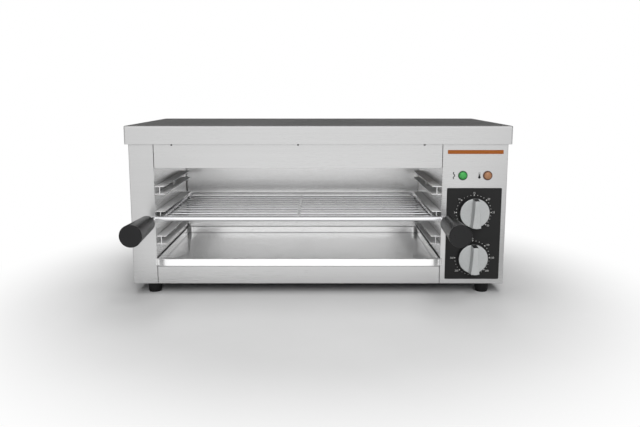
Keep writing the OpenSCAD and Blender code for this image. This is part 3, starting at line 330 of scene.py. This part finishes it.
# One finish for each slot name of the solids
MATERIALS = {
    "casing_steel": brushed("brushed_casing", rgb(205, 205, 205), 0.30),
    "liner_steel": satin("cooking_space_lining", rgb(250, 250, 250), 0.27, 0.2),
    "zinc_steel": galvanised("galvanised_sheet", rgb(186, 188, 190), 0.36),
    "polished_steel": polished("chrome_plate", rgb(238, 238, 240), 0.07),
    "screw_steel": polished("screw_plating", rgb(205, 205, 202), 0.22, 0.08),
    "element_sheath": oxidised("heat_stained_sheath", rgb(74, 70, 66), rgb(112, 98, 84)),
    "ceramic": moulded("glazed_ceramic", rgb(226, 220, 206), 0.3, 0.5, 240, worn=0.1),
    "brass": polished("brass_fittings", rgb(214, 178, 102), 0.25, 0.1),
    "mineral_wool": fibrous("mineral_wool", rgb(205, 193, 160)),
    "dial_black": moulded("printed_black_film", rgb(32, 32, 32), 0.5, 0.25, 900, 0.00002, 0.15),
    "orange_film": moulded("orange_film", rgb(150, 84, 30), 0.42, 0.3, 700, 0.00002, 0.3),
    "knob_grey": moulded("grey_knob_plastic", rgb(178, 180, 180), 0.42, 0.4, 520, 0.00003),
    "control_case": moulded("control_case", rgb(214, 212, 204), 0.45, 0.4, 300),
    "copper": polished("copper_tube", rgb(196, 128, 92), 0.3, 0.1),
    "green_lens": lens_plastic("green_lens_plastic", rgb(56, 162, 72), rgb(16, 84, 36),
        node_centre("green_lens")),
    "amber_lens": lens_plastic("amber_lens_plastic", rgb(163, 115, 78), rgb(88, 54, 38),
        node_centre("amber_lens")),
    "black_plastic": moulded("black_plastic", rgb(26, 26, 27), 0.42, 0.35, 420, edge=0.0003),
    "brown_wire": moulded("brown_insulation", rgb(104, 62, 38), 0.35, 0.4, 260, 0.00003),
    "blue_wire": moulded("blue_insulation", rgb(44, 88, 160), 0.35, 0.4, 260, 0.00003),
    "green_wire": moulded("green_insulation", rgb(62, 140, 62), 0.35, 0.4, 260, 0.00003),
    "foot_rubber": moulded("foot_rubber", rgb(15, 15, 16), 0.6, 0.3, 500, 0.00008),
    "handle_black": moulded("handle_phenolic", rgb(20, 20, 21), 0.33, 0.3, 500, 0.00001, 0.2,
        speck=0.02),
}
tray_finish = satin("tray_steel", rgb(251, 251, 251), 0.16, 0.2, radius=0.0012)
# Rack rods: painted shade darkens their undersides
rod_finish = polished("rack_plating", rgb(240, 240, 242), 0.12, painted_underside_shade=0.2)
rail_finish = satin("rail_steel", rgb(246, 246, 246), 0.42, 0.6)
# Nodes whose one finish isn't that of their slot
OWN_FINISH = {"drip_tray": tray_finish, "rack_frame": rod_finish, "rack_cross_wires": rod_finish}
OWN_FINISH.update((name, rail_finish) for name in NODES if "_rail_" in name)
slot_names = {n: [s.material.name for s in o.material_slots] for n, o in NODES.items()}
for name, piece in NODES.items():
    for slot, slot_name in zip(piece.material_slots, slot_names[name]):
        slot.material = OWN_FINISH.get(name, MATERIALS[slot_name])


# ---- Mesh helpers ----

def new_piece(name, mesh, body, finish_material):
    """An object for a finished mesh, in the row frame, riding on a body."""
    piece = bpy.data.objects.new(name, mesh)
    bpy.context.scene.collection.objects.link(piece)
    mesh.materials.clear()
    mesh.materials.append(finish_material)
    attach(piece, body)
    return piece


def smooth(mesh):
    """Smooth shading, with the edges over 32 degrees kept sharp."""
    for polygon in mesh.polygons:
        polygon.use_smooth = True
    mesh.set_sharp_from_angle(angle=math.radians(32))
    return mesh


def mesh_from(name, build):
    """A mesh that build(bm) fills, with its normals outwards."""
    bm = bmesh.new()
    build(bm)
    bmesh.ops.remove_doubles(bm, verts=bm.verts, dist=1e-6)
    bmesh.ops.recalc_face_normals(bm, faces=bm.faces)
    mesh = bpy.data.meshes.new(name)
    bm.to_mesh(mesh)
    bm.free()
    return mesh


def loft(bm, rings):
    """Quads between rings of points, with a face at each end."""
    rows = [[bm.verts.new(p) for p in ring] for ring in rings]
    for a, b in zip(rows, rows[1:]):
        for i in range(len(a)):
            j = (i + 1) % len(a)
            bm.faces.new((a[i], a[j], b[j], b[i]))
    bm.faces.new(rows[0][::-1])
    bm.faces.new(rows[-1])


def joined(name, *meshes):
    """The union of closed meshes."""
    base = bpy.data.objects.new(name, meshes[0])
    bpy.context.scene.collection.objects.link(base)
    helpers = []
    for mesh in meshes[1:]:
        other = bpy.data.objects.new(name + "_part", mesh)
        bpy.context.scene.collection.objects.link(other)
        union = base.modifiers.new("union", "BOOLEAN")
        union.operation = "UNION"
        union.solver = "EXACT"
        union.object = other
        helpers.append(other)
    graph = bpy.context.evaluated_depsgraph_get()
    result = bpy.data.meshes.new_from_object(base.evaluated_get(graph))
    for gone in [base] + helpers:
        bpy.data.objects.remove(gone)
    return result


# ---- Knobs ----

# Millimetres. The skirt's and the cap's heights are in front of the knob's back, and the grip's are
# in front of the cap.
KNOB_SIDES = 96
SKIRT_R = 23.7
SKIRT_EDGE = 0.3
CAP_R = 23.4
CAP_FOOT, CAP_FACE = 8.2, 10.0
CAP_SINK = 0.5          # of the cap into the skirt
CAP_EDGE = 1.5
GRIP_R = CAP_R - 0.1
GRIP_H = 17.0
GRIP_SINK = 1.5         # of the grip into the cap
GRIP_DRAFT = 1.2        # that its width loses over its height
GRIP_LEAN = 1.2         # that each of its ends loses over its height
GRIP_TIP, GRIP_WAIST, GRIP_FLARE = 7.7, 9.3, 13.9
GRIP_EDGE = 1.2
END_STEPS = 4           # from a grip end's corner to its middle
INSET_PROUD, INSET_SINK = 0.12, 0.6     # of the grip's end


def turned(bm, x, y, z, profile):
    """A solid turned about an axis along Y: (distance in front of y, radius) in millimetres."""
    rings = []
    for out, radius in profile:
        rings.append([(x + radius * MM * math.cos(a), y - out * MM, z + radius * MM * math.sin(a))
            for a in (math.tau * i / KNOB_SIDES for i in range(KNOB_SIDES))])
    loft(bm, rings)


def rounded_rim(height, radius, edge, steps=6):
    """A disc's profile from its rim's side to its face."""
    quarter = [math.pi / 2 * i / steps for i in range(steps + 1)]
    return [(height - edge * (1 - math.sin(a)), radius - edge * (1 - math.cos(a)))
        for a in quarter]


def grip_ring(shrink, reach):
    """The grip's outline seen from the front, in millimetres, at one height above the cap."""
    def half(t):
        taper = (GRIP_FLARE - GRIP_TIP) / 2
        swell = (GRIP_FLARE + GRIP_TIP) / 2 - GRIP_WAIST
        return (GRIP_WAIST - taper * t + swell * t * t) / 2 - shrink

    def end(t):
        """The rounded end at one side of the outline, from +x to -x."""
        xs = [half(t) * (1 - i / END_STEPS) for i in range(1, 2 * END_STEPS)]
        return [(x, t * math.sqrt(reach ** 2 - x * x)) for x in xs]

    steps = 14
    side = [(half(i / steps), i / steps * math.sqrt(reach ** 2 - half(i / steps) ** 2))
        for i in range(-steps, steps + 1)]
    return side + end(1) + [(-x, y) for x, y in side[::-1]] + end(-1)[::-1]


def knob_grip(bm, x, y, z):
    """The grip: its walls lean in towards the front, with soft edges round its face."""
    levels = [(-GRIP_SINK, -GRIP_DRAFT / 2), (0.4, -GRIP_DRAFT / 2),
        (GRIP_H / 2, -GRIP_DRAFT / 4)]
    for step in range(7):
        angle = math.radians(15 * step)
        levels.append((GRIP_H - GRIP_EDGE * (1 - math.sin(angle)),
            GRIP_EDGE * (1 - math.cos(angle))))
    rings = []
    for height, shrink in levels:
        lean = GRIP_LEAN * max(0.0, height) / GRIP_H
        reach = GRIP_R - lean - max(0.0, shrink)
        rings.append([(x + px * MM, y - height * MM, z + pz * MM)
            for px, pz in grip_ring(shrink, reach)])
    loft(bm, rings)


def tip_inset(bm, x, y, z):
    """A thin inset that covers the grip's upper end."""
    rings = []
    for height in (0.0, GRIP_H / 2, GRIP_H - 0.4 * GRIP_EDGE):
        reach = GRIP_R - GRIP_LEAN * height / GRIP_H
        half = GRIP_TIP / 2 - 0.2 + GRIP_DRAFT / 2 * (1 - height / GRIP_H)
        xs = [half * (1 - i / END_STEPS) for i in range(2 * END_STEPS + 1)]
        outline = [(px, math.sqrt((reach + INSET_PROUD) ** 2 - px * px)) for px in xs]
        outline += [(px, math.sqrt((reach - INSET_SINK) ** 2 - px * px)) for px in xs[::-1]]
        rings.append([(x + px * MM, y - height * MM, z + pz * MM) for px, pz in outline])
    loft(bm, rings)


def make_knob(node, body):
    """A black skirt and tip inset, and a grey cap with its grip, in place of a plain knob."""
    x, z = node_centre(node).x, node_centre(node).z
    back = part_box(node)[1].y
    face = back - CAP_FACE * MM
    skirt = mesh_from(node + "_skirt", lambda bm: turned(bm, x, back, z,
        [(0.0, SKIRT_R - 2.6), (0.0, SKIRT_R - SKIRT_EDGE), (SKIRT_EDGE, SKIRT_R),
            (CAP_FOOT - SKIRT_EDGE, SKIRT_R), (CAP_FOOT, SKIRT_R - SKIRT_EDGE)]))
    cap = mesh_from(node + "_cap", lambda bm: turned(bm, x, back, z,
        [(CAP_FOOT - CAP_SINK, CAP_R - 1.5), (CAP_FOOT - CAP_SINK, CAP_R - 0.4),
            (CAP_FOOT - 0.1, CAP_R)] + rounded_rim(CAP_FACE, CAP_R, CAP_EDGE)))
    grip = mesh_from(node + "_grip", lambda bm: knob_grip(bm, x, face, z))
    top = smooth(joined(node + "_union", cap, grip))
    moulding = new_piece(node + "_moulding", top, body, MATERIALS["knob_grey"])
    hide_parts(node)
    inset = mesh_from(node + "_inset", lambda bm: tip_inset(bm, x, face, z))
    for name, mesh in (("_skirt", skirt), ("_inset", inset)):
        dark = new_piece(node + name, smooth(mesh), body, MATERIALS["black_plastic"])
        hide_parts(node)


make_knob("timer_knob", "timer_knob")
make_knob("thermostat_knob", "thermostat_knob")


# ---- Dial print ----

PLATE_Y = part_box("dial_plate")[0].y
PRINT_T = 0.12 * MM
# Millimetres
DOT_RING = 28.0
DOT_R, MAIN_DOT_R = 0.55, 0.95
LABEL_GAP = 1.6         # beside the ring, with half a digit's width for each digit
LABEL_ABOVE = 3.2
DIGIT_H = 3.0
HALF_DIGIT = 1.05
TICKS, TICK_ANGLE = 24, 11.25
print_white = moulded("dial_print", rgb(222, 222, 220), 0.55, 0.3, 900, 0.00001, 0.0)
print_black = moulded("panel_print", rgb(30, 30, 32), 0.55, 0.3, 900, 0.00001, 0.0)


def slab(bm, points, y0, y1):
    """A flat solid: an outline in x and z, from y0 to y1."""
    loft(bm, [[(x, y, z) for x, z in points] for y in (y0, y1)])


def dot(bm, x, z, radius, y, thickness, sides=20):
    """A flat round spot in front of y."""
    slab(bm, [(x + radius * math.cos(math.tau * i / sides),
        z + radius * math.sin(math.tau * i / sides)) for i in range(sides)], y, y - thickness)


def digits(bm, label, x, z, height, y, thickness):
    """A number in Blender's own plain font, centred at x and z."""
    curve = bpy.data.curves.new("digits", "FONT")
    curve.body = label
    curve.size = height / 0.73  # a digit's height in this font, as a share of its size
    curve.align_x = "CENTER"
    curve.resolution_u = 4
    curve.extrude = thickness / 2
    holder = bpy.data.objects.new("digits", curve)
    bpy.context.scene.collection.objects.link(holder)
    graph = bpy.context.evaluated_depsgraph_get()
    graph.update()
    mesh = bpy.data.meshes.new_from_object(holder.evaluated_get(graph))
    points = [v.co.copy() for v in mesh.vertices]
    middle_x = (min(p.x for p in points) + max(p.x for p in points)) / 2
    middle_z = (min(p.y for p in points) + max(p.y for p in points)) / 2
    for vertex in mesh.vertices:
        px, pz, depth = vertex.co
        vertex.co = (x + px - middle_x, y - thickness / 2 - depth, z + pz - middle_z)
    bm.from_mesh(mesh)
    bpy.data.objects.remove(holder)


def dial_print(name, node, labels, start):
    """Dots on a ring and numbers outside them. Angles run clockwise from the top."""
    centre = node_centre(node)

    def build(bm):
        for i in range(TICKS + 1):
            angle = math.radians(start + TICK_ANGLE * i)
            radius = MAIN_DOT_R if i % 4 == 0 else DOT_R
            dot(bm, centre.x + DOT_RING * MM * math.sin(angle),
                centre.z + DOT_RING * MM * math.cos(angle), radius * MM, PLATE_Y, PRINT_T)
        for degrees, label in labels:
            angle = math.radians(degrees)
            beside = 0.0
            if abs(math.sin(angle)) > 0.5:
                beside = math.copysign(LABEL_GAP + HALF_DIGIT * len(label), math.sin(angle))
            above = LABEL_ABOVE * math.cos(angle) * abs(math.cos(angle))
            digits(bm, label, centre.x + (DOT_RING * math.sin(angle) + beside) * MM,
                centre.z + (DOT_RING * math.cos(angle) + above) * MM, DIGIT_H * MM, PLATE_Y,
                PRINT_T)

    new_piece(name, mesh_from(name, build), "cabinet", print_white)


dial_print("timer_dial_print", "timer_knob", [(225, "0"), (270, "5"), (315, "10"), (0, "15"),
    (45, "20"), (90, "25"), (135, "30")], 225)
dial_print("thermostat_dial_print", "thermostat_knob", [(0, "0"), (45, "100"), (90, "150"),
    (135, "200"), (225, "250"), (270, "300")], 0)


# ---- Panel symbols ----

PANEL_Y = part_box("control_panel")[0].y
# Millimetres. Places are to the left of a lamp's axis, and levels over it.
WAVE_PLACE, WAVE_H, WAVE_SWING, WAVE_W = 14, 11, 1.1, 1.3
WAVE_TURNS, WAVE_STEPS = 1.5, 24
STEM_PLACE, STEM_R = 13, 0.95
STEM_LEVELS = (-1.6, 0.5, 2.4, 4.2)
STEM_EDGE_W, STEM_TOP_W = 0.6, 0.45
BULB_LEVEL, BULB_R = -2.9, 2.1
MERCURY_LEVELS, MERCURY_W = (-1.6, 0.4, 2.0), 0.9


def ribbon(points, width):
    """The outline of a stroke of even width along points in x and z."""
    sides = []
    for i, (x, z) in enumerate(points):
        ax, az = points[max(0, i - 1)]
        bx, bz = points[min(len(points) - 1, i + 1)]
        along = Vector((bx - ax, bz - az)).normalized()
        sides.append((Vector((x, z)), Vector((-along.y, along.x)) * width / 2))
    return [tuple(p + s) for p, s in sides] + [tuple(p - s) for p, s in sides[::-1]]


def panel_symbols(bm):
    """A wavy line beside the green lamp, and a thermometer beside the amber one."""
    def stroke(points, width):
        slab(bm, ribbon(points, width * MM), PANEL_Y, PANEL_Y - PRINT_T)

    lamp_z = node_centre("green_lens").z
    wave_x = node_centre("green_lens").x - WAVE_PLACE * MM
    stroke([(wave_x - WAVE_SWING * MM * math.sin(WAVE_TURNS * math.tau * t / WAVE_STEPS),
        lamp_z + (0.5 - t / WAVE_STEPS) * WAVE_H * MM) for t in range(WAVE_STEPS + 1)], WAVE_W)
    stem_x = node_centre("amber_lens").x - STEM_PLACE * MM
    dot(bm, stem_x, lamp_z + BULB_LEVEL * MM, BULB_R * MM, PANEL_Y, PRINT_T)
    for side in (-1, 1):
        stroke([(stem_x + side * STEM_R * MM, lamp_z + z * MM) for z in STEM_LEVELS],
            STEM_EDGE_W)
    stroke([(stem_x + STEM_R * MM * math.cos(math.pi * i / 8),
        lamp_z + (STEM_LEVELS[-1] + STEM_R * math.sin(math.pi * i / 8)) * MM)
        for i in range(9)], STEM_TOP_W)
    stroke([(stem_x, lamp_z + z * MM) for z in MERCURY_LEVELS], MERCURY_W)


new_piece("panel_symbols", mesh_from("panel_symbols", panel_symbols), "cabinet", print_black)


# ---- Floor, surroundings, lamps and camera ----

FLOOR_HALF = 8.0
FADE_ELLIPSE = (0.52, 0.62)     # half sizes of the ellipse round which the floor fades to white
WEDGE_TIP = (0.268, -0.155)     # of the dark wedge: off the tray's middle in x, and its y
# Solved from the photograph; the tilt is from straight down, the lens for a sensor 36 mm wide
CAMERA_PLACE = (0.0027, -1.2239, 0.3250)
CAMERA_TILT = math.radians(80.405)
CAMERA_LENS, SENSOR_W = 40.635, 36


def make_floor():
    """A pale floor with a soft shadow by the unit, and white away from it."""
    mesh = mesh_from("floor", lambda bm: bmesh.ops.create_grid(bm, x_segments=4, y_segments=4,
        size=FLOOR_HALF))
    floor = bpy.data.objects.new("floor", mesh)
    bpy.context.scene.collection.objects.link(floor)
    made = bpy.data.materials.new("pale_floor")
    made.use_nodes = True
    net = Net(made.node_tree)
    place = net.add("TexCoord").outputs["Object"]
    paint = net.mix(net.remap(net.noise(place, 6, 3, 0.5), 0.3, 0.7, 0.0, 1.0),
        (0.57, 0.57, 0.57, 1), (0.59, 0.59, 0.59, 1))
    matt = net.add("BsdfDiffuse", ("Color", paint))
    spot = net.add("VectorMath", (0, net.stretch(place, 1 / FADE_ELLIPSE[0],
        1 / FADE_ELLIPSE[1], 0)), operation="LENGTH").outputs["Value"]
    fade = net.remap(spot, 0.6, 1.15, 0.0, 1.0, smooth=True)
    # Polished faces see the white floor from nearer to the unit
    where = net.add("SeparateXYZ", (0, place)).outputs
    across = net.maths("ABSOLUTE", where[0])
    ahead = net.maths("ABSOLUTE", where[1])
    near = net.maths("MAXIMUM", net.remap(ahead, 0.13, 0.34, 0.0, 1.0, smooth=True),
        net.remap(across, 0.36, 0.6, 0.0, 1.0, smooth=True))
    # They see a floor that is darker at the sides, with a dark wedge off the tray's two ends
    distant = net.remap(ahead, 0.5, 1.5, 0.0, 1.0, smooth=True)
    level = net.remap(across, 0.1, 0.7, 1.25, 0.8, smooth=True)
    level = net.between(distant, level, 1.0)
    off_end = net.maths("ABSOLUTE", net.maths("SUBTRACT", where[0], node_centre("drip_tray").x))
    bearing = net.maths("ARCTAN2", net.maths("SUBTRACT", off_end, WEDGE_TIP[0]),
        net.maths("SUBTRACT", WEDGE_TIP[1], where[1]))
    wedge = net.window(bearing, (0.34, 0.56), (1.0, 1.25))
    wedge = net.maths("MULTIPLY", wedge, net.remap(ahead, 0.5, 0.9, 1.0, 0.0, smooth=True))
    level = net.maths("MULTIPLY", level, net.remap(wedge, 0.0, 1.0, 1.0, 0.08))
    rays = net.add("LightPath").outputs
    level = net.between(rays["Is Camera Ray"], level, 1.0)
    white = net.add("Emission", ("Color", (1, 1, 1, 1)), ("Strength", level))
    seen = net.maths("MAXIMUM", net.maths("MULTIPLY", rays["Is Camera Ray"], fade),
        net.maths("MULTIPLY", net.mirror_rays(rays), near))
    mixed = net.add("MixShader", (0, seen), (1, matt.outputs[0]), (2, white.outputs[0]))
    net.add("OutputMaterial", ("Surface", mixed.outputs[0]))
    mesh.materials.append(made)


def make_world():
    """White where the camera looks. For polished faces bright in front, and dark behind, most
    of all low down."""
    world = bpy.data.worlds.new("studio")
    bpy.context.scene.world = world
    world.use_nodes = True
    net = Net(world.node_tree)
    direction = net.add("SeparateXYZ", (0, net.add("TexCoord").outputs["Generated"])).outputs
    behind = net.remap(direction[1], -0.05, 0.35, 0.0, 1.0, smooth=True)
    low = net.remap(direction[2], 0.5, 0.8, 1.0, 0.5, smooth=True)
    dark = net.maths("MULTIPLY", behind, low)
    side = net.remap(net.maths("ABSOLUTE", direction[0]), 0.35, 0.9, 1.0, 0.45, smooth=True)
    bearing = net.maths("ARCTAN2", net.maths("ABSOLUTE", direction[0]),
        net.maths("SUBTRACT", 0.0, direction[1]))
    wedge = net.window(bearing, (0.55, 0.75), (1.0, 1.25))
    side = net.maths("MULTIPLY", side, net.remap(wedge, 0.0, 1.0, 1.0, 0.25))
    horizon = net.remap(direction[2], 0.1, 0.35, 1.05, 1.36, smooth=True)
    overhead = net.remap(direction[2], 0.86, 0.97, 1.0, 0.3, smooth=True)
    front = net.maths("MULTIPLY", net.maths("MULTIPLY", horizon, overhead), side)
    gloss = net.between(dark, front, 0.05)
    rays = net.add("LightPath").outputs
    level = net.between(net.mirror_rays(rays), 0.16, gloss)
    level = net.maths("MAXIMUM", level, rays["Is Camera Ray"])
    sky = net.add("Background", ("Color", (1, 1, 1, 1)), ("Strength", level))
    net.add("OutputWorld", ("Surface", sky.outputs[0]))


def softbox(name, place, target, width, height, power):
    """A soft lamp that polished faces don't mirror."""
    light = bpy.data.lights.new(name, "AREA")
    light.shape = "RECTANGLE"
    light.size, light.size_y = width, height
    light.energy = power
    lamp = bpy.data.objects.new(name, light)
    bpy.context.scene.collection.objects.link(lamp)
    lamp.location = place
    lamp.rotation_euler = (Vector(target) - Vector(place)).to_track_quat("-Z", "Y").to_euler()
    lamp.visible_camera = False
    lamp.visible_glossy = False


def make_camera():
    """The photograph's fitted viewpoint and lens."""
    data = bpy.data.cameras.new("camera")
    data.sensor_width = SENSOR_W
    data.lens = CAMERA_LENS
    camera = bpy.data.objects.new("camera", data)
    bpy.context.scene.collection.objects.link(camera)
    camera.location = CAMERA_PLACE
    camera.rotation_euler = (CAMERA_TILT, 0, 0)
    bpy.context.scene.camera = camera


make_floor()
make_world()
softbox("front_softbox", (0.25, -2.3, 1.25), (0, 0, 0.12), 0.8, 1.0, 30)
softbox("key_softbox", (0.2, -1.5, 1.8), (0, 0, 0.1), 0.8, 0.6, 16)
softbox("top_softbox", (0, 0.1, 1.9), (0, 0, 0.1), 1.8, 1.2, 20)
softbox("back_softbox", (0, 2.3, 1.5), (0, 0, 0.15), 2.0, 1.2, 20)
make_camera()
bpy.context.scene.view_settings.view_transform = "Standard"
